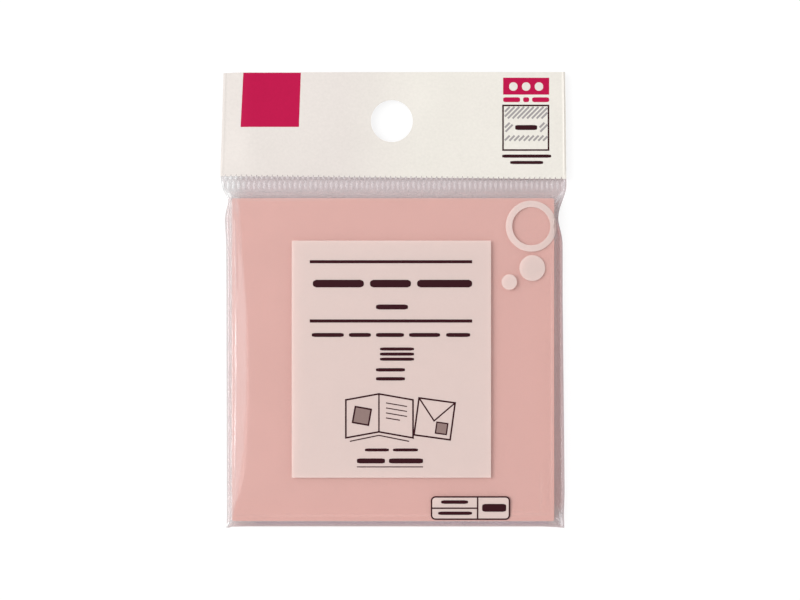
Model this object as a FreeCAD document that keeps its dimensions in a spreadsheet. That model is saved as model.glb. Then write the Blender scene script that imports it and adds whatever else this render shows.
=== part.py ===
import FreeCAD, Part
import os

import Sketcher

# Sticky note pad sealed in a clear header bag, lying on its back.
# X runs across the bag, +Y points to the header and +Z is up, through the stack of notes.
# The origin is the centre of the bag's footprint, on the surface that it lies on.
# All sizes are in millimetres.

# Driving sizes: name, value, what it measures
DRIVING_SIZES = [
    ("pad_width", 75, "width of one note"),
    ("pad_length", 75, "height of one note"),
    ("sheet_count", 40, "notes in the pad"),
    ("sheet_thickness", 0.085, "paper of one note with its adhesive"),
    ("backing_thickness", 0.1, "release-coated sheet under the last note"),
    ("film_thickness", 0.05, "one ply of the bag"),
    ("film_slack", 0.05, "clearance between the stack's edges and the film"),
    ("film_lift", 0.9, "how far the front film stands off the middle of the pad"),
    ("lift_inset", 8, "from the pad's edge to where the lifted film is level"),
    ("left_wing", 1.1, "pouch's left edge beyond the pad"),
    ("right_wing", 2.4, "pouch's right edge beyond the pad"),
    ("fold_margin", 1.05, "bottom fold beyond the pad"),
    ("shoulder", 1.95, "clear film between the pad and the seal"),
    ("side_weld", 0.4, "width of the weld down each side of the pouch"),
    ("header_overhang", 2.5, "header's side edge beyond the pad"),
    ("taper_length", 4.6, "below the seal, where the sides draw in around the pad"),
    ("seal_height", 3.6, "crimped heat seal across the bag"),
    ("header_height", 23.8, "printed header above the seal"),
    ("hole_diameter", 9.8, "hang hole"),
    ("hole_drop", 11.2, "from the header's top edge to the hole's centre"),
    ("hole_shift", 0.3, "hole's centre to the left of the bag's middle"),
    ("rib_pitch", 1.2, "from one crimp rib to the next"),
    ("rib_width", 0.5, "width of a crimp rib"),
    ("rib_height", 0.05, "how far a rib stands off each face of the seal"),
    ("rib_gap", 0.15, "between a rib's end and the seal's edge, and between the two rows"),
    ("upper_rib_length", 1.0, "ribs of the upper row, next to the header"),
]

# Sizes worked out from the driving ones: name, formula, what it measures
WORKED_OUT_SIZES = [
    ("pad_thickness", "sheet_count * sheet_thickness", "stack of notes"),
    ("backing_level", "film_thickness", "underside of the backing sheet"),
    ("pad_level", "backing_level + backing_thickness", "underside of the pad"),
    ("pouch_top", "pad_level + pad_thickness + film_slack", "inside of the front film at the pad's edge"),
    ("front_ply_top", "pouch_top + film_thickness", "outside of the front film there"),
    ("lift_top", "pouch_top + film_lift", "inside of the front film where it is lifted"),
    ("lifted_ply_top", "lift_top + film_thickness", "outside of the front film there"),
    ("slope_rise", "(pouch_top - film_thickness) / 2", "from either film's inner face to the weld"),
    ("weld_level", "film_thickness + slope_rise", "middle of the welds, the seal and the header"),
    ("ply_pair", "2 * film_thickness", "two plies lying on each other"),
    ("ply_pair_under", "weld_level - film_thickness", "underside of the two plies"),
    ("ply_pair_top", "weld_level + film_thickness", "top of the two plies"),
    ("bag_length", "fold_margin + pad_length + shoulder + seal_height + header_height", "whole bag"),
    ("fold_line", "-bag_length / 2", "bottom fold"),
    ("pad_low", "fold_line + fold_margin", "pad's lower edge"),
    ("pad_high", "pad_low + pad_length", "pad's upper edge"),
    ("seal_low", "pad_high + shoulder", "seal's lower edge"),
    ("seal_high", "seal_low + seal_height", "seal's upper edge"),
    ("bag_top", "seal_high + header_height", "header's top edge"),
    ("pad_right", "pad_width / 2", "pad's right edge"),
    ("pad_left", "-pad_right", "pad's left edge"),
    ("header_right", "pad_right + header_overhang", "header's right edge"),
    ("header_left", "-header_right", "header's left edge"),
    ("pouch_right", "pad_right + right_wing", "pouch's right edge"),
    ("pouch_left", "pad_left - left_wing", "pouch's left edge"),
    ("taper_low", "seal_low - taper_length", "where the sides have drawn in"),
    ("mouth_left", "pouch_left + side_weld", "inside of the left weld"),
    ("mouth_right", "pouch_right - side_weld", "inside of the right weld"),
    ("mouth_low", "fold_line + film_thickness", "inside of the bottom fold"),
    ("mouth_high", "seal_low", "inside of the seal"),
    ("bay_left", "pad_left - film_slack", "inside of the film at the pad's left edge"),
    ("bay_right", "pad_right + film_slack", "inside of the film at the pad's right edge"),
    ("bay_low", "pad_low - film_slack", "inside of the film at the pad's lower edge"),
    ("bay_high", "pad_high + film_slack", "inside of the film at the pad's upper edge"),
    ("lift_left", "pad_left + lift_inset", "left edge of the level, lifted film"),
    ("lift_right", "pad_right - lift_inset", "right edge of the level, lifted film"),
    ("lift_low", "pad_low + lift_inset", "lower edge of the level, lifted film"),
    ("lift_high", "pad_high - lift_inset", "upper edge of the level, lifted film"),
    ("left_run", "bay_left - mouth_left", "left slope, seen from above"),
    ("right_run", "mouth_right - bay_right", "right slope, seen from above"),
    ("low_run", "bay_low - mouth_low", "lower slope, seen from above"),
    ("high_run", "mouth_high - bay_high", "upper slope, seen from above"),
    ("hole_centre_x", "-hole_shift", "hang hole's centre"),
    ("hole_centre_y", "bag_top - hole_drop", "hang hole's centre"),
    ("rib_count", "floor(2 * header_right / rib_pitch) - 1", "ribs of the lower row"),
    ("rib_span", "(rib_count - 1) * rib_pitch", "from the first rib of the lower row to the last"),
    ("upper_rib_span", "rib_span - rib_pitch", "the same in the upper row, which is staggered"),
    ("rib_left", "-(rib_span + rib_width) / 2", "first rib's left side"),
    ("rib_right", "rib_left + rib_width", "first rib's right side"),
    ("upper_rib_left", "rib_left + rib_pitch / 2", "upper row's first rib, left side"),
    ("upper_rib_right", "rib_right + rib_pitch / 2", "upper row's first rib, right side"),
    ("upper_rib_high", "seal_high - rib_gap", "upper row's upper end"),
    ("upper_rib_low", "upper_rib_high - upper_rib_length", "upper row's lower end"),
    ("rib_high", "upper_rib_low - rib_gap", "lower row's upper end"),
    ("rib_low", "seal_low + rib_gap", "lower row's lower end"),
    ("rib_under", "ply_pair_under - rib_height", "underside of a rib"),
    ("rib_thickness", "ply_pair + 2 * rib_height", "a rib through the seal, from face to face"),
]

# A sloping ply keeps its thickness when its outer corners stand out from its inner ones by this
SPREAD_FORMULA = "film_thickness * (sqrt({run} ^ 2 + slope_rise ^ 2) - {run}) / slope_rise"
SPREADS = [
    ("left_spread", "left_run"),
    ("right_spread", "right_run"),
    ("low_spread", "low_run"),
    ("high_spread", "high_run"),
]

# Rectangles of the pouch, each as its left, right, low and high sides.
# The mouth is where the pouch is widest, at the weld; the bay is beside the pad.
MOUTH = ("sizes.mouth_left", "sizes.mouth_right", "sizes.mouth_low", "sizes.mouth_high")
BAY = ("sizes.bay_left", "sizes.bay_right", "sizes.bay_low", "sizes.bay_high")
LIFT = ("sizes.lift_left", "sizes.lift_right", "sizes.lift_low", "sizes.lift_high")
STANDING_OUT = (
    " - sizes.left_spread",
    " + sizes.right_spread",
    " - sizes.low_spread",
    " + sizes.high_spread",
)
OUTER_MOUTH = tuple(side + spread for side, spread in zip(MOUTH, STANDING_OUT))
OUTER_BAY = tuple(side + spread for side, spread in zip(BAY, STANDING_OUT))

# A wedge grows along its own Y, so it is turned to grow along Z
WEDGE_UPRIGHT = FreeCAD.Rotation(FreeCAD.Vector(1, 0, 0), 90)

LINE_START = 1
LINE_END = 2
CIRCLE_CENTRE = 3
ORIGIN = -1
ORIGIN_POINT = 1


def fill_sheet(sizes):
    """Write every size into the sheet as a named cell with a note."""
    rows = [(name, str(value), note) for name, value, note in DRIVING_SIZES]
    rows += [(name, "=" + formula, note) for name, formula, note in WORKED_OUT_SIZES]
    for name, run in SPREADS:
        rows.append((name, "=" + SPREAD_FORMULA.format(run=run), "a sloping ply's outer corner"))
    for row, (name, content, note) in enumerate(rows, start=1):
        sizes.set(f"A{row}", name)
        sizes.setAlias(f"B{row}", name)
        sizes.set(f"B{row}", content)
        sizes.set(f"C{row}", note)


def new_body(document, name):
    """Start a sub-part; its label names its file."""
    body = document.addObject("PartDesign::Body", name)
    body.Label = name
    return body


def new_sketch(body, name, level):
    """Start a level sketch at the height that an expression gives."""
    plane = next(item for item in body.Origin.OriginFeatures if item.Role == "XY_Plane")
    sketch = body.newObject("Sketcher::SketchObject", name)
    sketch.AttachmentSupport = [(plane, "")]
    sketch.MapMode = "FlatFace"
    sketch.setExpression("AttachmentOffset.Base.z", level)
    return sketch


def hold_point(sketch, geometry, point, x_expression, y_expression):
    """Dimension a point of the sketch from the origin, along X and along Y."""
    for axis, expression in (("DistanceX", x_expression), ("DistanceY", y_expression)):
        dimension = Sketcher.Constraint(axis, ORIGIN, ORIGIN_POINT, geometry, point, 1.0)
        index = sketch.addConstraint(dimension)
        sketch.setExpression(f"Constraints[{index}]", expression)


def draw_polygon(sketch, corners):
    """Draw a closed outline; each corner is a pair of expressions."""
    points = []
    for x_expression, y_expression in corners:
        x = sketch.evalExpression(x_expression)
        y = sketch.evalExpression(y_expression)
        points.append(FreeCAD.Vector(x, y, 0))
    following = [(index + 1) % len(corners) for index in range(len(corners))]
    for index, after in enumerate(following):
        sketch.addGeometry(Part.LineSegment(points[index], points[after]), False)
    for index, after in enumerate(following):
        sketch.addConstraint(Sketcher.Constraint("Coincident", index, LINE_END, after, LINE_START))
    for index, (x_expression, y_expression) in enumerate(corners):
        hold_point(sketch, index, LINE_START, x_expression, y_expression)


def draw_rectangle(sketch, sides):
    """Draw a rectangle from its left, right, low and high sides."""
    left, right, low, high = sides
    draw_polygon(sketch, [(left, low), (right, low), (right, high), (left, high)])


def add_pad(body, sketch, name, thickness):
    """Raise a sketch into a flat layer."""
    pad = body.newObject("PartDesign::Pad", name)
    pad.Profile = sketch
    pad.setExpression("Length", thickness)
    return pad


def add_wedge(body, kind, name, low_level, high_level, low_rectangle, high_rectangle):
    """Add or cut a block whose rectangle changes evenly from its lower level to its upper one."""
    wedge = body.newObject("PartDesign::" + kind, name)
    wedge.Placement = FreeCAD.Placement(FreeCAD.Vector(0, 0, 0), WEDGE_UPRIGHT)
    wedge.setExpression("Ymin", low_level)
    wedge.setExpression("Ymax", high_level)
    for prefix, rectangle in (("", low_rectangle), ("2", high_rectangle)):
        left, right, low, high = rectangle
        wedge.setExpression(f"X{prefix}min", left)
        wedge.setExpression(f"X{prefix}max", right)
        wedge.setExpression(f"Z{prefix}min", f"-({high})")
        wedge.setExpression(f"Z{prefix}max", f"-({low})")
    return wedge


def add_row_of_ribs(body, name, sides, count, span):
    """Press one row of crimp ribs through the seal."""
    sketch = new_sketch(body, name + "_sketch", "sizes.rib_under")
    draw_rectangle(sketch, sides)
    rib = add_pad(body, sketch, name, "sizes.rib_thickness")
    row = body.newObject("PartDesign::LinearPattern", name + "_row")
    row.Originals = [rib]
    direction = next(item for item in body.Origin.OriginFeatures if item.Role == "X_Axis")
    row.Direction = (direction, [""])
    row.setExpression("Occurrences", count)
    row.setExpression("Length", span)
    body.Tip = row


def make_sheet_stack(document, name, level, thickness):
    """Make one or more square sheets of the pad's size as a flat block."""
    body = new_body(document, name)
    sketch = new_sketch(body, name + "_outline", level)
    draw_rectangle(sketch, ("sizes.pad_left", "sizes.pad_right", "sizes.pad_low", "sizes.pad_high"))
    add_pad(body, sketch, name + "_stack", thickness)
    return body


def make_note_pad(document):
    """Make the stack of notes."""
    return make_sheet_stack(document, "note_pad", "sizes.pad_level", "sizes.pad_thickness")


def make_backing_sheet(document):
    """Make the release-coated sheet that covers the last note's adhesive."""
    return make_sheet_stack(document, "backing_sheet", "sizes.backing_level", "sizes.backing_thickness")


def make_header_bag(document):
    """Make the bag: one film folded at the bottom, welded at the sides and sealed under the header."""
    body = new_body(document, "header_bag")

    # Welds, seal and header, where the two plies lie on each other
    outline = new_sketch(body, "ply_pair_outline", "sizes.ply_pair_under")
    draw_polygon(
        outline,
        [
            ("sizes.pouch_left", "sizes.fold_line"),
            ("sizes.pouch_right", "sizes.fold_line"),
            ("sizes.pouch_right", "sizes.taper_low"),
            ("sizes.header_right", "sizes.seal_low"),
            ("sizes.header_right", "sizes.bag_top"),
            ("sizes.header_left", "sizes.bag_top"),
            ("sizes.header_left", "sizes.seal_low"),
            ("sizes.pouch_left", "sizes.taper_low"),
        ],
    )
    add_pad(body, outline, "two_plies", "sizes.ply_pair")

    # Outer form of the pouch, from the surface that it lies on to the lifted front film
    outer_blocks = [
        ("back_ply", "0", "sizes.ply_pair_under", OUTER_BAY, OUTER_MOUTH),
        ("front_ply", "sizes.ply_pair_top", "sizes.front_ply_top", OUTER_MOUTH, OUTER_BAY),
        ("lifted_ply", "sizes.front_ply_top", "sizes.lifted_ply_top", OUTER_BAY, LIFT),
    ]
    for block in outer_blocks:
        add_wedge(body, "AdditiveWedge", *block)

    # Inside of the pouch
    inner_blocks = [
        ("back_room", "sizes.film_thickness", "sizes.weld_level", BAY, MOUTH),
        ("front_room", "sizes.weld_level", "sizes.pouch_top", MOUTH, BAY),
        ("lifted_room", "sizes.pouch_top", "sizes.lift_top", BAY, LIFT),
    ]
    for block in inner_blocks:
        add_wedge(body, "SubtractiveWedge", *block)

    # Hang hole, punched down through both plies
    hole_sketch = new_sketch(body, "hang_hole_sketch", "sizes.ply_pair_top")
    hole_sketch.addGeometry(Part.Circle(FreeCAD.Vector(0, 1, 0), FreeCAD.Vector(0, 0, 1), 1), False)
    hold_point(hole_sketch, 0, CIRCLE_CENTRE, "sizes.hole_centre_x", "sizes.hole_centre_y")
    index = hole_sketch.addConstraint(Sketcher.Constraint("Diameter", 0, 2.0))
    hole_sketch.setExpression(f"Constraints[{index}]", "sizes.hole_diameter")
    hole = body.newObject("PartDesign::Pocket", "hang_hole")
    hole.Profile = hole_sketch
    hole.setExpression("Length", "sizes.ply_pair")

    # Crimp ribs of the seal, in two staggered rows
    lower_sides = ("sizes.rib_left", "sizes.rib_right", "sizes.rib_low", "sizes.rib_high")
    add_row_of_ribs(body, "rib", lower_sides, "sizes.rib_count", "sizes.rib_span")
    upper_sides = (
        "sizes.upper_rib_left",
        "sizes.upper_rib_right",
        "sizes.upper_rib_low",
        "sizes.upper_rib_high",
    )
    upper_count = "sizes.rib_count - 1"
    add_row_of_ribs(body, "upper_rib", upper_sides, upper_count, "sizes.upper_rib_span")
    return body


def check_document(document, bodies):
    """Stop if any object failed, or if a sub-part isn't one valid solid."""
    for item in document.Objects:
        if "Invalid" in item.State or "Error" in item.State:
            raise RuntimeError(f"{item.Name} failed: {item.State}")
    for body in bodies:
        shape = body.Shape
        if shape.isNull() or not shape.isValid() or len(shape.Solids) != 1:
            raise RuntimeError(f"{body.Label} isn't one valid solid")


def main():
    document = FreeCAD.newDocument("sticky_note_pad")
    sizes = document.addObject("Spreadsheet::Sheet", "sizes")
    fill_sheet(sizes)
    document.recompute()
    bodies = [make_note_pad(document), make_backing_sheet(document), make_header_bag(document)]
    document.recompute()
    check_document(document, bodies)
    os.makedirs("parts", exist_ok=True)
    for body in bodies:
        body.Shape.exportStep(os.path.join("parts", body.Label + ".step"))
        print(body.Label, "volume", round(body.Shape.Volume, 3), "mm3")


main()
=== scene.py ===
import math
import random

import bmesh
import bpy
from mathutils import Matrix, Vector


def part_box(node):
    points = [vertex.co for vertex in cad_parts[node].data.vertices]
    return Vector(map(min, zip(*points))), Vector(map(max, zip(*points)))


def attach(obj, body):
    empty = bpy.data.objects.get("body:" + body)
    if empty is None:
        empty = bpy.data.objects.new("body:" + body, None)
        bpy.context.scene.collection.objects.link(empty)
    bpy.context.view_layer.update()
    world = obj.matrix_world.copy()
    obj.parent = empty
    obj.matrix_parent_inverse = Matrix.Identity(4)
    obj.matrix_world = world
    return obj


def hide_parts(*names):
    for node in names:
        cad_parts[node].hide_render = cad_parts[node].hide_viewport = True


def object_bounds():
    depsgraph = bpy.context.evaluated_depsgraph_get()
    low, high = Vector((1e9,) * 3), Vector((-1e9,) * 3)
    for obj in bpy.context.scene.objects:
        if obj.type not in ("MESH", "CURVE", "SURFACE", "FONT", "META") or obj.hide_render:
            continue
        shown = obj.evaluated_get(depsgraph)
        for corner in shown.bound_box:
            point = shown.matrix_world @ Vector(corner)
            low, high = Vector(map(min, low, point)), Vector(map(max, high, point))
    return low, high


bl_info = {
    "name": "Note Pad In A Header Bag",
    "version": (1, 0, 0),
    "blender": (4, 5, 0),
    "location": "View3D > Sidebar > Note Pack",
    "description": "Models a pad of sticky notes in its clear header bag on the packed frame",
    "category": "Object",
}

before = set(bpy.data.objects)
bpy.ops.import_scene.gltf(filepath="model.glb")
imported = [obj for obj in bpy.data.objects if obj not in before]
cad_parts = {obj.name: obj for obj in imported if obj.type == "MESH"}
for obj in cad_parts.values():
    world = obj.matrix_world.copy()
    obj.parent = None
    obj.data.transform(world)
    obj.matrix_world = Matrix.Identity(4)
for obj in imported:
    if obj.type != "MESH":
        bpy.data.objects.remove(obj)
cad_low, cad_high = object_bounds()
pad_low, pad_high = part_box("note_pad")

# Everything below is in millimetres until it is written into a mesh
MM = 0.001
PAD_LEFT, PAD_RIGHT = pad_low.x / MM, pad_high.x / MM
PAD_BOTTOM, PAD_TOP = pad_low.y / MM, pad_high.y / MM
BAG_BOTTOM, BAG_TOP = cad_low.y / MM, cad_high.y / MM

# The seal runs across the bag above the pad, and the plies meet halfway up the pad
SEAL_BOTTOM, SEAL_TOP = 25.3, 28.9
MEETING_HEIGHT = 1.825
FILM_ABOVE_EDGE = 3.6
BACK_FILM_INSIDE = 0.05
HOLE_X, HOLE_Y, HOLE_RADIUS = -0.3, 41.5, 4.9
# Cells round the hang hole: their size, how many are cut from its middle, how many are bent into rings
HOLE_STEP, HOLE_INNER, HOLE_OUTER = 0.84, 5, 7
FLANGE = 0.45
PLY_GAP = 0.01
INK_LOW, INK_SPIKES = 28.3, 29.4
FILM_IOR = 1.48
SHADOW_SHARE = 0.20
CAMERA_X, CAMERA_Y, CAMERA_Z = 1.61, -0.26, 604.0
HEADER_SPREAD = 1.003
# The notes: rounding of their corners and rims, extra length, and the paper's share of a sheet's pitch
NOTE_CORNER, NOTE_RIM, NOTE_EXTRA, NOTE_SHARE = 0.35, 0.012, 0.1, 0.97
# How wide the film is beside the pad on a straight bag, and where its top starts to bend to the outline
WING_WIDTH = 2.5
TOP_BEND = 49.0
# The crimps' pitch along the seal, and where the first one stands
RIB_PITCH, RIB_START = 1.2, -38.4
# The print's own measuring steps: how many make a millimetre, and where the pad's top middle is
PRINT_STEP_X, PRINT_STEP_Y = 4.292, 4.308
PRINT_MIDDLE_X, PRINT_TOP_Y = 393.1, 198.3
# How thick the inks are, and how far each stands off the film so that no two share a face
PRINT_THICKNESS, HEADER_INK_THICKNESS = 0.006, 0.010
PALE_GAP, HEADER_GAP, GREY_GAP, DARK_GAP, WHITE_GAP = 0.007, 0.010, 0.020, 0.022, 0.031
FLOOR_SIZE, FLOOR_DROP = 6.0, 0.00004
LENS_LENGTH = 116.1
# Depths of the finest relief of the papers, the inks and the film, in metres
NOTE_FIBRES, RELEASE_FIBRES, INK_GRAIN, FILM_GRAIN = 0.000012, 0.000006, 0.00001, 0.000004

# The bag's outline: its sides as (y, x), its fold and its top edge as (x, y)
LEFT_SIDE = (
    (-53.3, -39.0), (-51.6, -38.75), (9.0, -38.92), (13.7, -38.97), (18.8, -39.28), (20.9, -38.9),
    (22.3, -38.45), (23.5, -38.5), (25.5, -39.8), (28.7, -40.3), (31.1, -40.25), (52.8, -39.6),
)
RIGHT_SIDE = (
    (-53.4, 39.98), (-50.6, 39.83), (-45.3, 40.03), (-32.7, 39.92), (-14.2, 39.73), (-0.3, 39.57),
    (13.2, 39.57), (15.1, 39.30), (17.4, 38.69), (18.9, 38.48), (21.0, 38.83), (22.5, 39.38),
    (24.2, 40.0), (24.9, 40.2), (25.8, 40.45), (43.9, 40.32), (53.0, 40.15),
)
FOLD_EDGE = (
    (-39.0, -53.38), (-37.6, -53.18), (-34.0, -53.10), (35.0, -53.12), (38.0, -53.25), (40.0, -53.45),
)
TOP_EDGE = ((-39.6, 52.7), (-36.0, 52.85), (-20.0, 52.9), (40.0, 52.95))

# The grid's steps inward from an edge of the pad, fine enough for the film's bends there
EDGE_STEPS = (0.12, 0.13, 0.15, 0.15, 0.15, 0.15, 0.15, 0.2, 0.25, 0.3, 0.35, 0.4, 0.5, 0.6)

# How far in from each side of the pad the film takes to lift off it
LIFT_REACH = {"left": 4.1, "right": 5.0, "bottom": 6.5, "top": 3.8}

# Creases in the front film: both ends as x and y, half width and height, a valley where it is below 0
CREASES = (
    (-36.8, 18.0, -36.45, 0.0, 0.20, 0.035), (-36.45, 0.0, -36.4, -20.0, 0.20, 0.04),
    (-36.4, -20.0, -36.8, -44.0, 0.20, 0.03), (-39.2, 25.1, -37.4, 24.0, 0.22, 0.18),
    (-37.4, 23.7, -35.9, 23.55, 0.20, 0.12), (-38.6, 24.2, -37.9, 22.6, 0.20, 0.12),
    (39.7, 24.8, 37.6, 22.3, 0.25, 0.22), (39.3, 23.9, 38.2, 21.8, 0.18, -0.14),
    (38.9, 24.9, 37.4, 23.6, 0.16, -0.10), (38.0, 18.2, 38.9, 15.0, 0.20, 0.12),
    (38.5, 12.0, 38.4, -8.0, 0.20, 0.05), (-37.6, -51.4, -38.9, -53.3, 0.16, 0.20),
    (-37.4, -51.9, -35.6, -52.1, 0.18, 0.10), (39.1, -50.3, 39.8, -52.9, 0.20, 0.20),
    (38.0, -51.7, 39.6, -53.1, 0.18, 0.16), (38.5, -51.2, 39.4, -52.2, 0.12, -0.10),
    (-36.0, -49.3, -8.0, -49.9, 0.50, 0.035), (2.0, -49.0, 30.0, -48.6, 0.55, 0.035),
    (-33.0, -50.7, 10.0, -50.6, 0.35, 0.03), (-34.0, 21.6, -12.0, 21.9, 0.55, 0.04),
    (-6.0, 21.5, 24.0, 21.3, 0.60, 0.045),
)

# Where the film is whitened by a sharp bend, and painted highlights where its bends and crumpled corners
# catch the light: both ends as x and y, half width and how milky the line is
MILKY_AND_PAINTED_GLINT_LINES = (
    (-36.75, 18.5, -36.55, 0.0, 0.20, 0.11), (-36.55, 0.0, -36.75, -46.0, 0.20, 0.11),
    (-37.85, 22.0, -37.85, -25.0, 0.15, 0.14), (-37.85, -25.0, -37.62, -51.4, 0.15, 0.20),
    (-38.75, 22.5, -38.62, -52.0, 0.12, 0.05), (36.9, 12.0, 36.9, -50.2, 0.22, 0.14),
    (34.3, -40.0, 34.7, -50.0, 0.24, 0.06), (28.0, -49.5, 36.0, -50.2, 0.22, 0.08),
    (-36.6, -50.4, 36.4, -50.4, 0.22, 0.08), (-37.2, 22.9, -12.0, 23.1, 0.16, 0.05),
    (37.6, 22.0, 39.7, 25.2, 0.30, 0.62), (38.2, 21.2, 38.9, 22.6, 0.16, 0.34),
    (38.1, 18.6, 38.9, 14.6, 0.18, 0.16), (-37.5, -51.6, -38.9, -53.2, 0.14, 0.55),
    (-37.5, -51.6, -36.0, -51.9, 0.16, 0.20), (38.9, -50.2, 39.4, -52.4, 0.32, 0.75),
    (38.0, -50.9, 39.6, -52.9, 0.24, 0.75), (38.5, -48.0, 39.1, -51.2, 0.18, 0.32),
    (-39.3, 25.4, -37.6, 23.6, 0.30, 0.42), (-37.6, 23.6, -35.6, 23.5, 0.20, 0.22),
    (-37.7, 23.8, -37.8, 11.0, 0.50, 0.12), (-36.4, 23.6, -36.2, 19.5, 0.60, 0.09),
    (-37.8, -45.5, -37.8, -52.0, 0.50, 0.11),
)

# The bright band down the pad's left side, where the film bends up towards the light and its haze paints a
# highlight: its inner edge as (y, x)
PAINTED_STREAK_EDGE = (
    (-51.0, -37.5), (-46.7, -36.3), (-32.8, -34.7), (-14.2, -34.0), (0.0, -34.4), (19.5, -35.7),
    (23.0, -36.4),
)

# Rows of dark bars in the print's steps: top, bottom and corner, then the left and right of each bar
PANEL_ROWS = (
    (260.15, 263.25, 0, 310, 472), (319.45, 322.6, 0, 310, 472),
    (279.8, 287.4, 0.8, 313, 364, 370, 411, 417, 472), (304.5, 309.5, 0.5, 376, 408),
    (333, 337, 0.4, 312, 344, 349, 371, 376, 404, 409, 440, 446, 470),
    (347.5, 350.6, 0.3, 380, 414), (352.6, 355.7, 0.3, 380, 414), (357.7, 360.8, 0.3, 380, 414),
    (368.2, 371.6, 0.3, 376, 405), (377.2, 380.6, 0.3, 376, 405),
    (448.6, 451.6, 0.3, 365, 389, 393, 418), (458.6, 463.6, 0.4, 357, 385, 389, 423),
    (466.6, 467.6, 0, 357, 423),
    (500.6, 504.2, 0.4, 441, 468), (512.0, 515.4, 0.4, 438, 472), (504.3, 512.2, 0.5, 482, 506),
)
HEADER_ROWS = (
    (124.6, 129.6, 0.4, 515, 537), (154.2, 157.4, 0.3, 502, 551), (160.6, 163.8, 0.3, 510, 543),
)
# The small tag's sides and its two dividing lines, in the print's steps
TAG_LEFT, TAG_RIGHT, TAG_TOP, TAG_BOTTOM = 431.5, 509.2, 497.25, 519.7
TAG_DIVIDER, TAG_MIDDLE = 477.5, 508.6
TAG_CORNER = 0.9


def along_table(table, at):
    """The value of a table of pairs at a place, in straight runs between them."""
    if at <= table[0][0]:
        return table[0][1]
    for (a, first), (b, second) in zip(table, table[1:]):
        if at <= b:
            return first + (second - first) * (at - a) / (b - a)
    return table[-1][1]


def eased_table(table, at, reach=0.7):
    """The table's value with its corners rounded over a reach."""
    return sum(along_table(table, at + step * reach) for step in (-1, -0.5, 0, 0.5, 1)) / 5


def ease(low, high, at):
    """0 below low, 1 above high and a soft change between them."""
    share = min(1.0, max(0.0, (at - low) / (high - low)))
    return share * share * (3 - 2 * share)


def soft_line(away, width):
    """1 on a line, fading beside it."""
    return math.exp(-((away / width) ** 2))


def left_side(y):
    return eased_table(LEFT_SIDE, y)


def right_side(y):
    return eased_table(RIGHT_SIDE, y)


def header_wave(x, y):
    """How far the header and the seal stand off their plane, since a film never lies quite flat."""
    wave = 0.10 * math.sin(x / 9.0 + 0.6) * math.sin(y / 7.0 + 1.0) + 0.07 * math.sin(x / 5.2 - y / 6.1)
    droop = ease(-33.0, -41.0, x) * ease(29.0, 36.0, y)
    return ease(26.0, 33.0, y) * wave - 0.5 * droop


def rib_height(x, y):
    """The crimps that the sealing jaws pressed: two staggered rows of long ovals, from 0 to 1."""
    height = 0.0
    for middle, reach, shift in ((26.5, 1.15, 0.0), (28.3, 0.55, 0.6)):
        if abs(y - middle) < reach:
            across = (x - RIB_START + shift + RIB_PITCH / 2) % RIB_PITCH - RIB_PITCH / 2
            oval = 1 - (across / 0.33) ** 2 - ((y - middle) / reach) ** 2
            height = max(height, max(0.0, oval) ** 0.6)
    return height


def lines_at(lines, x, y):
    """The sum at a place of soft lines that fade out towards their ends."""
    total = 0.0
    for ax, ay, bx, by, width, height in lines:
        run_x, run_y = bx - ax, by - ay
        share = ((x - ax) * run_x + (y - ay) * run_y) / (run_x * run_x + run_y * run_y)
        if -0.3 < share < 1.3:
            near = min(1.0, max(0.0, share))
            away = math.hypot(x - ax - near * run_x, y - ay - near * run_y)
            if away < 3 * width:
                taper = math.sin(math.pi * min(1.0, max(0.02, share))) ** 0.5
                total += height * taper * soft_line(away, width)
    return total


def wing_share(x, y):
    """How far the film has come down outside the pad: 0 over it and 1 where the plies meet."""
    gaps = (
        (PAD_LEFT - x, PAD_LEFT - left_side(y) - FLANGE),
        (x - PAD_RIGHT, right_side(y) - FLANGE - PAD_RIGHT),
        (PAD_BOTTOM - y, PAD_BOTTOM - BAG_BOTTOM + 0.05),
        (y - PAD_TOP, SEAL_BOTTOM - PAD_TOP - 0.1),
    )
    total = 0.0
    for past, width in gaps:
        if past > 0:
            share = min(1.0, past / max(0.3, width))
            total += (1 - (1 - share) ** 1.7) ** 4
    return min(1.0, total ** 0.25)


def lift_share(x, y):
    """How far the film has lifted off the pad's face, from 0 at its edges to nearly 1."""
    share = 1.0
    for depth, side in (
        (x - PAD_LEFT, "left"), (PAD_RIGHT - x, "right"), (y - PAD_BOTTOM, "bottom"), (PAD_TOP - y, "top"),
    ):
        reach = LIFT_REACH[side] * (1 + ease(-14.0, 18.0, y) if side == "left" else 1.0)
        share *= 1 - math.exp(-max(0.0, depth) / reach)
    return share


def meeting_plane(x, y):
    return MEETING_HEIGHT + header_wave(x, y)


def film_outside(x, y):
    """Height of the front film's outer face, which carries the print."""
    step = 0.05
    height = front_film_height(x, y)
    slope_x = (front_film_height(x + step, y) - height) / step
    slope_y = (front_film_height(x, y + step) - height) / step
    thickness = bpy.context.scene.note_pack_sizes.film_thickness / MM
    return height + thickness * math.sqrt(1 + slope_x * slope_x + slope_y * slope_y)


def back_outside(x, y):
    """Height of the back film's outer face in the header."""
    return back_film_height(x, y) - bpy.context.scene.note_pack_sizes.film_thickness / MM


def front_film_height(x, y):
    """Height of the front film's inner face."""
    sizes = bpy.context.scene.note_pack_sizes
    low = meeting_plane(x, y) + PLY_GAP
    high = FILM_ABOVE_EDGE
    share = wing_share(x, y)
    height = high + (low - high) * share
    if share <= 0:
        sag = 0.05 * math.sin(x / 8.3 + 1.1) * math.sin(y / 10.7 + 0.4)
        height += (sizes.film_lift / MM + sag) * lift_share(x, y)
    ridge = 0.03 * soft_line(x - left_side(y) - 0.45, 0.13)
    ridge += 0.07 * soft_line(right_side(y) - x - 0.45, 0.13)
    height += ridge * (1 + 1.6 * ease(28.5, 30.0, y)) + lines_at(CREASES, x, y)
    return height + sizes.rib_height / MM * rib_height(x, y)


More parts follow.
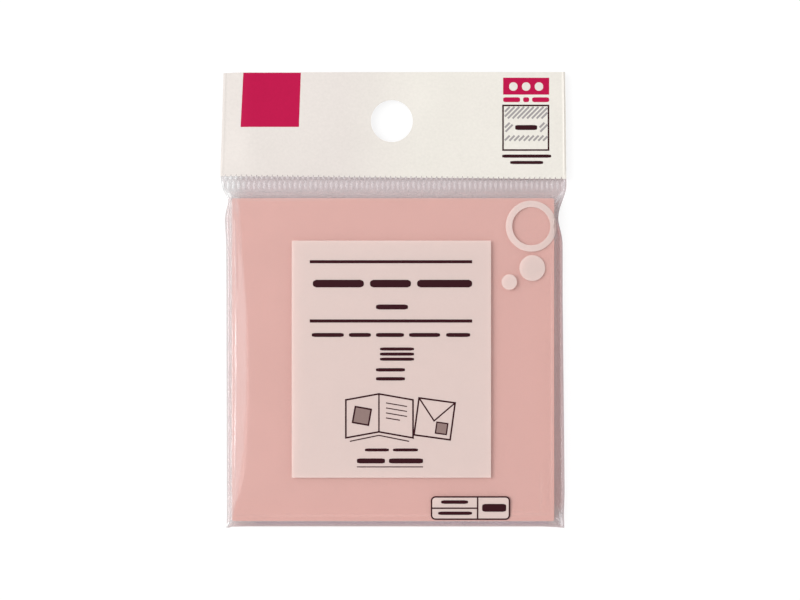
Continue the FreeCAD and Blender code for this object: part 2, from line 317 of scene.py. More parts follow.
def back_film_height(x, y):
    """Height of the back film's inner face."""
    sizes = bpy.context.scene.note_pack_sizes
    high = meeting_plane(x, y) - PLY_GAP
    height = BACK_FILM_INSIDE + (high - BACK_FILM_INSIDE) * wing_share(x, y)
    return height + sizes.rib_height / MM * rib_height(x, y)


def clear_selection():
    """Leaves object mode with nothing selected, as the loaded frame leaves its nodes selected."""
    if bpy.context.object and bpy.context.object.mode != "OBJECT":
        bpy.ops.object.mode_set(mode="OBJECT")
    bpy.ops.object.select_all(action="DESELECT")


def make_active(piece):
    clear_selection()
    piece.select_set(True)
    bpy.context.view_layer.objects.active = piece


def stepped(start, steps, end, count):
    """Places from start through fine steps, and then evenly to the end."""
    places = [start]
    for step in steps:
        places.append(places[-1] + step)
    last = places[-1]
    places += [last + (end - last) * i / count for i in range(1, count + 1)]
    return places


def column_places():
    """Where the film's columns stand on a straight bag, with one on each side of the pad."""
    reach = HOLE_STEP * HOLE_OUTER
    middle_left = stepped(PAD_LEFT, EDGE_STEPS, HOLE_X - reach, 34)
    middle_right = [-place for place in stepped(-PAD_RIGHT, EDGE_STEPS, -HOLE_X - reach, 34)][::-1]
    hole = [HOLE_X + HOLE_STEP * i for i in range(1 - HOLE_OUTER, HOLE_OUTER)]
    left = [PAD_LEFT - WING_WIDTH + WING_WIDTH * i / 12 for i in range(12)]
    right = [PAD_RIGHT + WING_WIDTH * i / 14 for i in range(1, 15)]
    return left + middle_left + hole + middle_right + right


def row_places():
    """Where the film's rows stand, from the fold to the top edge."""
    fold = [BAG_BOTTOM + (PAD_BOTTOM - BAG_BOTTOM) * i / 6 for i in range(6)]
    lower = stepped(PAD_BOTTOM, EDGE_STEPS, -14.0, 38)
    upper = [-place for place in stepped(-PAD_TOP, EDGE_STEPS, 14.0, 38)][::-1]
    shoulder = [PAD_TOP + (SEAL_BOTTOM - PAD_TOP) * i / 8 for i in range(1, 9)]
    seal = [SEAL_BOTTOM + 0.9 * i for i in range(1, 5)]
    return fold + lower + upper[1:] + shoulder + seal + header_rows(SEAL_TOP)[1:]


def header_rows(start):
    reach = HOLE_STEP * HOLE_OUTER
    below = [start + (HOLE_Y - reach - start) * i / 8 for i in range(9)]
    hole = [HOLE_Y + HOLE_STEP * i for i in range(1 - HOLE_OUTER, HOLE_OUTER)]
    above = [HOLE_Y + reach + (BAG_TOP - HOLE_Y - reach) * i / 6 for i in range(7)]
    return below + hole + above


def on_outline(x, y):
    """Moves a place on the straight bag to where it is on the real outline."""
    side_y = y
    if y < PAD_BOTTOM:
        share = (PAD_BOTTOM - y) / (PAD_BOTTOM - BAG_BOTTOM)
        y = PAD_BOTTOM + (along_table(FOLD_EDGE, x) - PAD_BOTTOM) * share
    if y > TOP_BEND:
        share = (y - TOP_BEND) / (BAG_TOP - TOP_BEND)
        y = TOP_BEND + (along_table(TOP_EDGE, x) - TOP_BEND) * share
    if x < PAD_LEFT:
        x = PAD_LEFT + (left_side(side_y) - PAD_LEFT) * (PAD_LEFT - x) / WING_WIDTH
    if x > PAD_RIGHT:
        x = PAD_RIGHT + (right_side(side_y) - PAD_RIGHT) * (x - PAD_RIGHT) / WING_WIDTH
    return x, y


def hole_place(x, y):
    """Bends the rows and columns round the hang hole into rings, so that one of them is its edge."""
    block, inner = HOLE_STEP * HOLE_OUTER, HOLE_STEP * HOLE_INNER
    u, v = (x - HOLE_X) / block, (y - HOLE_Y) / block
    square = max(abs(u), abs(v))
    if square >= 1 or square < 1e-6:
        return x, y
    a, b = u / square, v / square
    ring_x, ring_y = a * math.sqrt(1 - b * b / 2), b * math.sqrt(1 - a * a / 2)
    away = math.hypot(ring_x, ring_y)
    radius = HOLE_RADIUS * square * block / inner
    if square * block > inner:
        radius = HOLE_RADIUS + (block * 1.02 - HOLE_RADIUS) * (square * block - inner) / (block - inner)
    round_share = 1 - ease(inner, block, square * block)
    round_x, round_y = radius * ring_x / away, radius * ring_y / away
    return (
        HOLE_X + round_x * round_share + (x - HOLE_X) * (1 - round_share),
        HOLE_Y + round_y * round_share + (y - HOLE_Y) * (1 - round_share),
    )


def add_sheet(name, columns, rows):
    """Adds a flat grid with its columns and rows at these places on the straight bag."""
    clear_selection()
    bpy.ops.mesh.primitive_grid_add(
        x_subdivisions=len(columns) - 1, y_subdivisions=len(rows) - 1, size=(BAG_TOP - BAG_BOTTOM) * MM
    )
    sheet = bpy.context.object
    sheet.name = sheet.data.name = name
    for vertex in sheet.data.vertices:
        x = columns[vertex.index % len(columns)]
        y = rows[vertex.index // len(columns)]
        vertex.co = (x * MM, y * MM, 0)
    return sheet


def select_parts(piece, kind, is_wanted):
    """Selects in edit mode the faces or edges that pass a test, and nothing else."""
    bpy.ops.mesh.select_all(action="DESELECT")
    bpy.ops.mesh.select_mode(type=kind)
    shape = bmesh.from_edit_mesh(piece.data)
    for part in shape.faces if kind == "FACE" else shape.edges:
        part.select_set(is_wanted(part))
    bmesh.update_edit_mesh(piece.data)


def select_cells(piece, is_wanted):
    """Goes to edit mode with the faces selected whose middle passes a test of x and y."""
    make_active(piece)
    bpy.ops.object.mode_set(mode="EDIT")

    def middle_passes(face):
        centre = face.calc_center_median()
        return is_wanted(centre.x / MM, centre.y / MM)

    select_parts(piece, "FACE", middle_passes)


def cut_hole(sheet):
    """Takes out the cells inside the hang hole."""
    block = HOLE_STEP * HOLE_INNER
    select_cells(sheet, lambda x, y: max(abs(x - HOLE_X), abs(y - HOLE_Y)) < block)
    bpy.ops.mesh.delete(type="FACE")
    bpy.ops.object.mode_set(mode="OBJECT")


def subdivide_where(piece, is_wanted, cuts):
    """Divides the faces whose middle passes a test."""
    select_cells(piece, is_wanted)
    bpy.ops.mesh.subdivide(number_cuts=cuts)
    bpy.ops.object.mode_set(mode="OBJECT")


def haze_and_painted_light_at(x, y):
    """How milky the film is: more in the seal, on its crimps, along the welds and on sharp creases, with
    painted highlights and painted shade added at places.
    """
    clear = bpy.context.scene.note_pack_sizes.film_haze
    sealed = ease(PAD_TOP - 0.2, PAD_TOP + 1.0, y)
    below = ease(PAD_BOTTOM + 1.0, PAD_BOTTOM - 0.5, y)
    # The cut below the pad is painted shade, for the strip in the pad's shadow; the other terms are the
    # film's own milkiness.
    haze = clear + 0.050 * wing_share(x, y) + 0.10 * sealed + 0.18 * rib_height(x, y) - 0.04 * below
    haze += 0.10 * soft_line(x - left_side(y) - 0.2, 0.2)
    haze += 0.27 * soft_line(right_side(y) - x - 0.42, 0.20)
    haze -= 0.025 * sealed * ease(27.2, 25.6, y)
    # More haze on the left wing is a painted highlight, where the film faces the light from the left.
    haze += 0.05 * ease(-36.9, -37.6, x) * (1 - sealed)
    # The haze along the pad's top edge is painted light, lifting the shade that falls there.
    haze += 0.15 * soft_line(y - PAD_TOP - 0.42, 0.42)
    # Less haze under the white ink's lower edge is a painted shadow of the ink, deeper to the right.
    painted_shade_rightward = ease(8.0, 33.0, x)
    haze -= (0.06 + 0.07 * painted_shade_rightward) * soft_line(y - 27.97, 0.22)
    # Haze in the band down the pad's left side is a painted highlight, where the film bends up towards the
    # light.
    if PAD_LEFT < x and PAD_BOTTOM < y < PAD_TOP:
        haze += 0.07 * ease(0.25, -0.25, x - along_table(PAINTED_STREAK_EDGE, y))
    # More haze at the seal's left end is a painted highlight for its glints; the lines are partly real
    # whitening and partly painted glints.
    haze += 0.16 * ease(-35.0, -39.0, x) * sealed + lines_at(MILKY_AND_PAINTED_GLINT_LINES, x, y)
    # The pink bounce term is painted light beside the pad, and less haze to the seal's right is painted
    # shade.
    haze += 0.10 * painted_bounce_at(x, y) - 0.045 * sealed * painted_shade_rightward
    return min(0.8, max(clear, haze))


def painted_bounce_at(x, y):
    """How much painted pink bounce light the film's haze takes at the pad's right side and below it, standing
    in for light that the paper throws back.
    """
    right, below = x - PAD_RIGHT, PAD_BOTTOM - y
    near_right = ease(-0.10, 0.10, right) * (1 - ease(0.6, 3.0, right))
    near_below = ease(-0.10, 0.10, below) * (1 - ease(0.5, 1.3, below))
    near = max(near_right * ease(20.0, 15.0, y), near_below)
    corner = ease(35.5, 37.5, x) * ease(-47.5, -50.0, y)
    return near * (1 - corner) * ease(-35.0, -31.0, x)


def painted_highlight_at(x, y):
    """How much painted highlight, in the paper's pink, the film's haze takes over the pad's right and lower
    edges.
    """
    over = ease(0.1, -0.1, max(x - PAD_RIGHT, PAD_BOTTOM - y)) * ease(PAD_TOP, PAD_TOP - 2.0, y)
    edges = max(ease(31.0, 34.0, x), ease(-46.0, -48.5, y))
    return over * edges * ease(-36.0, -33.0, x)


def tone_at(x, y):
    """The colour of the film's haze at a place, with painted light and shade: a neutral lit tone on the left,
    painted pink bounce beside the pad, painted shade below it and painted highlights over its right and lower
    edges.
    """
    colours = bpy.context.scene.note_pack_colours
    # The shares of painted pink bounce, and of painted highlight over the pad's edges.
    painted_bounce, glow = painted_bounce_at(x, y), painted_highlight_at(x, y)
    # Below the pad the haze takes painted shade, beside it painted pink bounce.
    beside = colours.film_painted_shade if y < PAD_BOTTOM else colours.film_painted_bounce
    # A neutral tone on the left is a painted highlight, where the film faces the light.
    pale = max(
        ease(-33.0, -37.0, x) * ease(PAD_TOP - 1.0, PAD_TOP + 1.0, y), ease(-36.9, -37.6, x)
    )
    mixed = [
        ((haze * (1 - pale) + 0.76 * pale) * (1 - painted_bounce) + pink * painted_bounce) * (1 - glow) + light * glow
        for haze, pink, light in zip(colours.film_haze, beside, colours.film_painted_highlight)
    ]
    return (*mixed, 1.0)


def store_haze_and_painted_light(piece):
    """Keeps the haze, with its painted highlights and shade, and its colour for each point of the film, for
    its material to read.
    """
    haze = piece.data.attributes.new("haze", "FLOAT", "POINT")
    tone = piece.data.attributes.new("tone", "FLOAT_COLOR", "POINT")
    for vertex in piece.data.vertices:
        x, y = vertex.co.x / MM, vertex.co.y / MM
        haze.data[vertex.index].value = haze_and_painted_light_at(x, y)
        tone.data[vertex.index].color = tone_at(x, y)


def shape_sheet(sheet, height_at, gap=0.0):
    """Moves a straight sheet onto the outline and up to its height."""
    for vertex in sheet.data.vertices:
        x, y = hole_place(vertex.co.x / MM, vertex.co.y / MM)
        x, y = on_outline(x, y)
        vertex.co = (x * MM, y * MM, (height_at(x, y) + gap) * MM)


def thicken(piece, thickness, offset):
    """Gives a sheet its thickness: offset 1 adds it above the faces and -1 below them."""
    make_active(piece)
    modifier = piece.modifiers.new("Thickness", "SOLIDIFY")
    modifier.thickness = thickness
    modifier.offset = offset
    modifier.use_even_offset = False
    bpy.ops.object.modifier_apply(modifier=modifier.name)
    bpy.ops.object.shade_smooth_by_angle(angle=math.radians(50))


def finish_piece(piece, material, node_name=None):
    """Gives a piece its material, its body and the node that it stands for."""
    piece.data.materials.clear()
    piece.data.materials.append(material)
    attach(piece, "root")
    if node_name:
        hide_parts(node_name)


def add_node(tree, kind, **inputs):
    """Adds a shader node to the right of those before it, and sets its named inputs."""
    node = tree.nodes.new("ShaderNode" + kind)
    node.location = (180 * len(tree.nodes), -160 * (len(tree.nodes) % 4))
    for name, value in inputs.items():
        node.inputs[name.replace("_", " ")].default_value = value
    return node


def add_math(tree, operation, **values):
    """Adds a Math node and sets its inputs by place, as first, second or third."""
    node = add_node(tree, "Math")
    node.operation = operation
    for name, value in values.items():
        node.inputs[("first", "second", "third").index(name)].default_value = value
    return node


def link_all(tree, pairs):
    """Links nodes: each pair is a node and its output, then a node and its input."""
    for source, output, target, socket in pairs:
        tree.links.new(source.outputs[output], target.inputs[socket])


def add_range(tree, from_low, from_high, to_low, to_high):
    """Adds a Map Range node from one span to another."""
    return add_node(
        tree, "MapRange", From_Min=from_low, From_Max=from_high, To_Min=to_low, To_Max=to_high,
    )


def new_group(name, inputs, outputs):
    """Makes an empty shader node group with these sockets."""
    group = bpy.data.node_groups.new(name, "ShaderNodeTree")
    for socket, kind, default in inputs:
        made = group.interface.new_socket(name=socket, in_out="INPUT", socket_type=kind)
        if default is not None:
            made.default_value = default
    for socket, kind in outputs:
        group.interface.new_socket(name=socket, in_out="OUTPUT", socket_type=kind)
    end = group.nodes.new("NodeGroupOutput")
    end.location = (2400, 0)
    return group, group.nodes.new("NodeGroupInput"), end


def mottle_group():
    """Varies a colour over the surface in two grain sizes, and gives the same grain as a height."""
    name = "Mottle"
    if name in bpy.data.node_groups:
        return bpy.data.node_groups[name]
    group, start, end = new_group(
        name,
        (
            ("Vector", "NodeSocketVector", None),
            ("Color", "NodeSocketColor", (0.8, 0.8, 0.8, 1.0)),
            ("Coarse Scale", "NodeSocketFloat", 120.0),
            ("Fine Scale", "NodeSocketFloat", 2500.0),
            ("Coarse Amount", "NodeSocketFloat", 0.05),
            ("Fine Amount", "NodeSocketFloat", 0.04),
        ),
        (("Color", "NodeSocketColor"), ("Height", "NodeSocketFloat")),
    )
    coarse = add_node(group, "TexNoise", Detail=3.0, Roughness=0.55)
    fine = add_node(group, "TexNoise", Detail=4.0, Roughness=0.6)
    both = add_math(group, "ADD")
    for i, (noise, grain) in enumerate(((coarse, "Coarse"), (fine, "Fine"))):
        centred = add_math(group, "SUBTRACT", second=0.5)
        scaled = add_math(group, "MULTIPLY")
        link_all(group, (
            (start, "Vector", noise, "Vector"), (start, grain + " Scale", noise, "Scale"),
            (noise, "Fac", centred, 0), (centred, 0, scaled, 0),
            (start, grain + " Amount", scaled, 1), (scaled, 0, both, i),
        ))
    level = add_math(group, "MULTIPLY_ADD", second=2.0, third=1.0)
    tint = add_node(group, "HueSaturation")
    link_all(group, (
        (both, 0, level, 0), (start, "Color", tint, "Color"), (level, 0, tint, "Value"),
        (tint, "Color", end, "Color"), (fine, "Fac", end, "Height"),
    ))
    return group


def new_material(name):
    """Makes an empty node material, and gives its tree, its output and its Object coordinates."""
    material = bpy.data.materials.new(name)
    material.use_nodes = True
    tree = material.node_tree
    tree.nodes.clear()
    out = add_node(tree, "OutputMaterial")
    out.location = (3000, 0)
    place = add_node(tree, "TexCoord")
    return material, tree, out, place.outputs["Object"]


def add_mottle(tree, place, colour, *grain):
    """Places the mottle group in a material. The grain is both scales, coarse and fine, then both amounts."""
    node = add_node(tree, "Group")
    node.node_tree = mottle_group()
    tree.links.new(place, node.inputs["Vector"])
    node.inputs["Color"].default_value = (*colour, 1.0)
    for name, value in zip(("Coarse Scale", "Fine Scale", "Coarse Amount", "Fine Amount"), grain):
        node.inputs[name].default_value = value
    return node


def add_bump(tree, height, distance):
    bump = add_node(tree, "Bump", Strength=1.0, Distance=distance)
    tree.links.new(height, bump.inputs["Height"])
    return bump.outputs["Normal"]


def paper_material(name, colour, roughness, fibre_depth):
    """Uncoated paper: a mottled colour, fine fibres and hardly any shine."""
    material, tree, out, place = new_material(name)
    mottle = add_mottle(tree, place, colour, 90.0, 2600.0, 0.035, 0.10)
    shader = add_node(tree, "BsdfPrincipled", Roughness=roughness, Specular_IOR_Level=0.3)
    tree.links.new(add_bump(tree, mottle.outputs["Height"], fibre_depth), shader.inputs["Normal"])
    link_all(tree, ((mottle, "Color", shader, "Base Color"), (shader, 0, out, "Surface")))
    return material


def ink_material(name, colour, painted_light_colour=None):
    """Ink printed on the film, slightly uneven. A second colour paints it lighter and warmer to the right, as
    painted light.
    """
    material, tree, out, place = new_material(name)
    mottle = add_mottle(tree, place, colour, 60.0, 1500.0, 0.06, 0.07)
    if painted_light_colour is not None:
        split = add_node(tree, "SeparateXYZ")
        share = add_node(tree, "MapRange", From_Min=-0.012, From_Max=0.006)
        blend = add_node(tree, "Mix")
        blend.data_type = "RGBA"
        blend.inputs[6].default_value = (*colour, 1.0)
        blend.inputs[7].default_value = (*painted_light_colour, 1.0)
        tree.links.new(place, split.inputs[0])
        link_all(tree, (
            (split, "X", share, "Value"), (share, 0, blend, 0), (blend, 2, mottle, "Color"),
        ))
    shader = add_node(tree, "BsdfPrincipled", Roughness=0.45, Specular_IOR_Level=0.1)
    tree.links.new(add_bump(tree, mottle.outputs["Height"], INK_GRAIN), shader.inputs["Normal"])
    link_all(tree, ((mottle, "Color", shader, "Base Color"), (shader, 0, out, "Surface")))
    return material


def pale_ink_material(name, colour, cover):
    """A thin white ink that scatters light both ways and lets the paper under it show."""
    material, tree, out, place = new_material(name)
    mottle = add_mottle(tree, place, colour, 220.0, 1800.0, 0.015, 0.02)
    clear = add_node(tree, "BsdfTransparent")
    front = add_node(tree, "BsdfPrincipled", Roughness=0.5, Specular_IOR_Level=0.2)
    behind = add_node(tree, "BsdfTranslucent")
    scatter = add_node(tree, "MixShader", Fac=0.15)
    # The ink is a closed sheet with two faces, which share its cover
    mix = add_node(tree, "MixShader", Fac=1 - math.sqrt(1 - cover))
    link_all(tree, (
        (mottle, "Color", front, "Base Color"), (mottle, "Color", behind, "Color"),
        (front, 0, scatter, 1), (behind, 0, scatter, 2),
        (clear, 0, mix, 1), (scatter, 0, mix, 2), (mix, 0, out, "Surface"),
    ))
    return material


def film_material(name):
    """Clear glossy film: a sharp shine over what lies behind, and a haze that the film's points hold, which
    also carries painted highlights and shade.
    """
    material, tree, out, place = new_material(name)
    tone = add_node(tree, "Attribute")
    tone.attribute_name = "tone"
    mottle = add_mottle(tree, place, (0.8, 0.8, 0.8), 70.0, 900.0, 0.06, 0.08)
    normal = add_bump(tree, mottle.outputs["Height"], FILM_GRAIN)
    clear = add_node(tree, "BsdfTransparent")
    shine = add_node(tree, "BsdfGlossy", Roughness=0.06)
    edge = add_node(tree, "Fresnel", IOR=FILM_IOR)
    # Seen from inside the film, the surface bends light the other way
    facing = add_node(tree, "NewGeometry")
    both_ways = add_range(tree, 0.0, 1.0, FILM_IOR, 1 / FILM_IOR)
    glass = add_node(tree, "MixShader")
    body = add_node(tree, "BsdfPrincipled", Roughness=0.3)
    haze = add_node(tree, "Attribute")
    haze.attribute_name = "haze"
    # The haze scatters light forward, so it throws no shadow on what lies under it
    ray = add_node(tree, "LightPath")
    passed = add_math(tree, "MAXIMUM")
    lit = add_math(tree, "SUBTRACT", first=1.0)
    seen = add_math(tree, "MULTIPLY")
    mix = add_node(tree, "MixShader")
    for node in (shine, edge):
        tree.links.new(normal, node.inputs["Normal"])
    link_all(tree, (
        (facing, "Backfacing", both_ways, "Value"), (both_ways, 0, edge, "IOR"),
        (edge, 0, glass, "Fac"), (clear, 0, glass, 1), (shine, 0, glass, 2),
        (tone, "Color", mottle, "Color"), (mottle, "Color", body, "Base Color"),
        (ray, "Is Shadow Ray", passed, 0), (ray, "Is Diffuse Ray", passed, 1), (passed, 0, lit, 1),
        (haze, "Fac", seen, 0), (lit, 0, seen, 1),
        (seen, 0, mix, "Fac"), (glass, 0, mix, 1), (body, 0, mix, 2), (mix, 0, out, "Surface"),
    ))
    return material


def floor_material(colour):
    """A pale floor: plain white to the camera with the pack's shadow kept, and its own tone elsewhere."""
    material, tree, out, place = new_material("Pale floor")
    mottle = add_mottle(tree, place, colour, 6.0, 300.0, 0.02, 0.02)
    matt = add_node(tree, "BsdfDiffuse", Roughness=0.6)
    shaded = add_node(tree, "BsdfDiffuse", Roughness=0.6)
    shaded.inputs["Color"].default_value = (SHADOW_SHARE, SHADOW_SHARE, SHADOW_SHARE, 1.0)
    glow = add_node(tree, "Emission", Strength=1.06 - SHADOW_SHARE)
    both = add_node(tree, "AddShader")
    ray = add_node(tree, "LightPath")
    near = add_math(tree, "LESS_THAN", second=0.5)
    seen = add_math(tree, "MULTIPLY")
    shiny = add_math(tree, "MAXIMUM")
    passed = add_math(tree, "MAXIMUM")
    mix = add_node(tree, "MixShader")
    link_all(tree, (
        (mottle, "Color", matt, "Color"), (shaded, 0, both, 0), (glow, 0, both, 1),
        (ray, "Transparent Depth", near, 0), (near, 0, seen, 0), (ray, "Is Camera Ray", seen, 1),
        (seen, 0, shiny, 0), (ray, "Is Glossy Ray", shiny, 1),
        (shiny, 0, passed, 0), (ray, "Is Transmission Ray", passed, 1),
        (passed, 0, mix, "Fac"), (matt, 0, mix, 1), (both, 0, mix, 2), (mix, 0, out, "Surface"),
    ))
    return material


def studio_world():
    """Soft room light: a pale horizon, a darker ceiling, and the left side brighter than the right."""
    world = bpy.data.worlds.new("Soft room")
    world.use_nodes = True
    tree = world.node_tree
    tree.nodes.clear()
    out = add_node(tree, "OutputWorld")
    out.location = (2400, 0)
    back = add_node(tree, "Background", Strength=1.0)
    place = add_node(tree, "TexCoord")
    split = add_node(tree, "SeparateXYZ")
    high = add_range(tree, 0.05, 0.75, 1.0, 0.42)
    side = add_range(tree, -1.0, 1.0, 1.15, 0.95)
    level = add_math(tree, "MULTIPLY")
    colour = add_node(tree, "CombineColor")
    link_all(tree, (
        (place, "Generated", split, 0), (split, "Z", high, "Value"), (split, "X", side, "Value"),
        (high, 0, level, 0), (side, 0, level, 1),
        (level, 0, colour, "Red"), (level, 0, colour, "Green"), (level, 0, colour, "Blue"),
        (colour, 0, back, "Color"), (back, 0, out, "Surface"),
    ))
    bpy.context.scene.world = world


def add_area_lamp(name, toward, distance, width, height, radiance):
    """Adds a soft panel of light that looks at the pack from one direction."""
    clear_selection()
    length = math.sqrt(sum(part * part for part in toward))
    spot = tuple(part / length * distance for part in toward)
    bpy.ops.object.light_add(type="AREA", location=spot)
    lamp = bpy.context.object
    lamp.name = name
    lamp.data.shape = "RECTANGLE"
    lamp.data.size = width
    lamp.data.size_y = height
    lamp.data.energy = math.pi * width * height * radiance
    lamp.rotation_mode = "QUATERNION"
    lamp.rotation_quaternion = lamp.location.to_track_quat("Z", "Y")


def px(place):
    """A place across the print, from the steps that it was measured in."""
    return (place - PRINT_MIDDLE_X) / PRINT_STEP_X


def py(place):
    return PAD_TOP - (place - PRINT_TOP_Y) / PRINT_STEP_Y


def on_header(patches):
    """Spreads print from the middle of the picture, since the header lies lower than the pad's face."""
    for patch in patches:
        for vertex in patch.data.vertices:
            vertex.co.x = CAMERA_X * MM + (vertex.co.x - CAMERA_X * MM) * HEADER_SPREAD
            vertex.co.y = CAMERA_Y * MM + (vertex.co.y - CAMERA_Y * MM) * HEADER_SPREAD
    return patches


def add_patch(left, right, low, high, corner=0.0, turn=0.0, cell=0.8):
    """Adds one flat patch of print, divided to follow the film. A corner rounds it, up to a disc."""
    clear_selection()
    width, height = right - left, high - low
    across = max(1, math.ceil(width / cell))
    up = max(1, math.ceil(height / cell))
    if corner:
        across, up = max(8, across), max(8, up)
    bpy.ops.mesh.primitive_grid_add(x_subdivisions=across, y_subdivisions=up, size=MM)
    patch = bpy.context.object
    half_w, half_h = width / 2, height / 2
    centre_x, centre_y = (left + right) / 2, (low + high) / 2
    cos, sin = math.cos(turn), math.sin(turn)
    for vertex in patch.data.vertices:
        x, y = vertex.co.x / MM * width, vertex.co.y / MM * height
        if corner:
            x, y = rounded_place(x, y, half_w, half_h, corner)
        vertex.co = ((centre_x + x * cos - y * sin) * MM, (centre_y + x * sin + y * cos) * MM, 0)
    return patch


def rounded_place(x, y, half_w, half_h, corner):
    """Draws the corners of a rectangle in to an arc."""
    over_x, over_y = abs(x) - (half_w - corner), abs(y) - (half_h - corner)
    if over_x <= 0 or over_y <= 0:
        return x, y
    u, v = over_x / corner, over_y / corner
    arc_x, arc_y = u * math.sqrt(1 - v * v / 2), v * math.sqrt(1 - u * u / 2)
    return (
        math.copysign(half_w - corner + corner * arc_x, x),
        math.copysign(half_h - corner + corner * arc_y, y),
    )


def add_stroke(points, width, closed=False, lanes=1, step=0.9):
    """Adds one printed line of even width along points."""
    clear_selection()
    path = []
    loop = list(points) + ([points[0]] if closed else [])
    for (ax, ay), (bx, by) in zip(loop, loop[1:]):
        pieces = max(1, math.ceil(math.hypot(bx - ax, by - ay) / step))
        path += [(ax + (bx - ax) * i / pieces, ay + (by - ay) * i / pieces) for i in range(pieces)]
    path.append(loop[-1])
    bpy.ops.mesh.primitive_grid_add(x_subdivisions=len(path) - 1, y_subdivisions=lanes, size=MM)
    stroke = bpy.context.object
    sides = []
    for i, (x, y) in enumerate(path):
        before = path[i - 1] if i else (path[-2] if closed else path[0])
        after = path[i + 1] if i < len(path) - 1 else (path[1] if closed else path[-1])
        normals = []
        for (ax, ay), (bx, by) in ((before, (x, y)), ((x, y), after)):
            run = math.hypot(bx - ax, by - ay)
            if run > 1e-9:
                normals.append((-(by - ay) / run, (bx - ax) / run))
        nx = sum(n[0] for n in normals)
        ny = sum(n[1] for n in normals)
        size = math.hypot(nx, ny)
        nx, ny = nx / size, ny / size
        reach = width / 2 / max(0.4, nx * normals[0][0] + ny * normals[0][1])
        sides.append((x, y, nx * reach, ny * reach))
    for vertex in stroke.data.vertices:
        x, y, side_x, side_y = sides[vertex.index % len(path)]
        way = 2 * (vertex.index // len(path)) / lanes - 1
        vertex.co = ((x + side_x * way) * MM, (y + side_y * way) * MM, 0)
    return stroke


def lay_print(name, patches, gap, material):
    """Joins patches into one piece of print, laid on the outside of the front film."""
    make_active(patches[0])
    for patch in patches:
        patch.select_set(True)
    if len(patches) > 1:
        bpy.ops.object.join()
    ink = bpy.context.object
    ink.name = ink.data.name = name
    bpy.ops.object.mode_set(mode="EDIT")
    bpy.ops.mesh.select_all(action="SELECT")
    bpy.ops.mesh.remove_doubles(threshold=1e-6)
    bpy.ops.mesh.select_all(action="SELECT")
    bpy.ops.mesh.bisect(plane_co=(PAD_RIGHT * MM, 0, 0), plane_no=(1, 0, 0))
    bpy.ops.mesh.select_all(action="SELECT")
    bpy.ops.mesh.normals_make_consistent(inside=False)
    bpy.ops.object.mode_set(mode="OBJECT")
    for vertex in ink.data.vertices:
        x, y = vertex.co.x / MM, vertex.co.y / MM
        vertex.co.z = (film_outside(x, y) + gap) * MM
    up = sum(face.normal.z * face.area for face in ink.data.polygons)
    if up < 0:
        ink.data.flip_normals()
    thicken(ink, PRINT_THICKNESS * MM, 1)
    finish_piece(ink, material)


def length_setting(name, description, default, least, most):
    """A length for the panel, given in millimetres."""
    return bpy.props.FloatProperty(
        name=name, description=description, default=default * MM, min=least * MM, max=most * MM,
        unit="LENGTH", subtype="DISTANCE", precision=6,
    )


def share_setting(name, description, default):
    return bpy.props.FloatProperty(
        name=name, description=description, default=default, min=0.0, max=1.0, subtype="FACTOR",
    )


def colour_setting(name, description, default):
    return bpy.props.FloatVectorProperty(
        name=name, description=description, default=default, min=0.0, max=1.0, subtype="COLOR", size=3,
    )


class PackSizes(bpy.types.PropertyGroup):
    """Sizes of the film, the print and the notes."""

    film_thickness: length_setting("Film thickness", "Thickness of one ply of the bag", 0.05, 0.01, 0.5)
    film_lift: length_setting("Film lift", "How far the front film stands off the pad", 0.9, 0.1, 2.0)
    rib_height: length_setting("Rib height", "Depth of the crimps in the seal", 0.045, 0.0, 0.3)
    sheet_count: bpy.props.IntProperty(
        name="Notes", description="Sheets in the pad", default=40, min=5, max=100,
    )
    sheet_shuffle: length_setting("Shuffle", "How far the notes stray to the sides", 0.05, 0.0, 0.5)
    film_haze: share_setting("Film haze", "How milky the film is over the pad", 0.008)
    pale_cover: share_setting("Pale ink cover", "How much of the paper the pale panel hides", 0.80)


class PackColours(bpy.types.PropertyGroup):
    """Colours of the paper, the inks, the film and the floor."""

    paper: colour_setting("Paper", "Pink note paper", (0.77, 0.443, 0.40))
    release: colour_setting("Backing", "Release paper behind the pad", (0.82, 0.79, 0.74))
    cool_white: colour_setting("Cool header ink", "White ink at the header's left", (0.770, 0.716, 0.676))
    # The header's right colour is lighter and warmer: painted light across the header.
    painted_light_header_ink: colour_setting("Warm header ink", "White ink at the header's right", (0.82, 0.785, 0.722))
    white_ink: colour_setting("White ink", "Ink of the small white marks", (0.79, 0.745, 0.695))
    magenta_ink: colour_setting("Magenta ink", "Ink of the bright fields", (0.50, 0.0055, 0.066))
    dark_ink: colour_setting("Dark ink", "Ink of the lines and bars", (0.036, 0.006, 0.010))
    grey_ink: colour_setting("Grey ink", "Ink of the hatching", (0.36, 0.335, 0.335))
    note_ink: colour_setting("Warm grey ink", "Ink of the notes in the drawings", (0.285, 0.195, 0.18))
    pale_ink: colour_setting("Pale ink", "Thin white ink over the pad", (0.995, 0.85, 0.805))
    film_haze: colour_setting("Film", "Tone of the film's haze", (0.77, 0.70, 0.715))
    # Painted shade in the haze by the fold, below the pad.
    film_painted_shade: colour_setting("Film below the pad", "Tone of the haze by the fold", (0.36, 0.22, 0.44))
    # Painted pink bounce light in the haze beside the paper.
    film_painted_bounce: colour_setting("Film by the pad", "Tone of the haze beside the paper", (0.76, 0.42, 0.41))
    # Painted pink highlight in the haze over the pad's right and lower edges.
    film_painted_highlight: colour_setting("Film on the pad", "Tone of the haze over the pad", (1.0, 0.66, 0.60))
    floor: colour_setting("Floor", "Tone of the floor under the pack", (0.76, 0.625, 0.63))


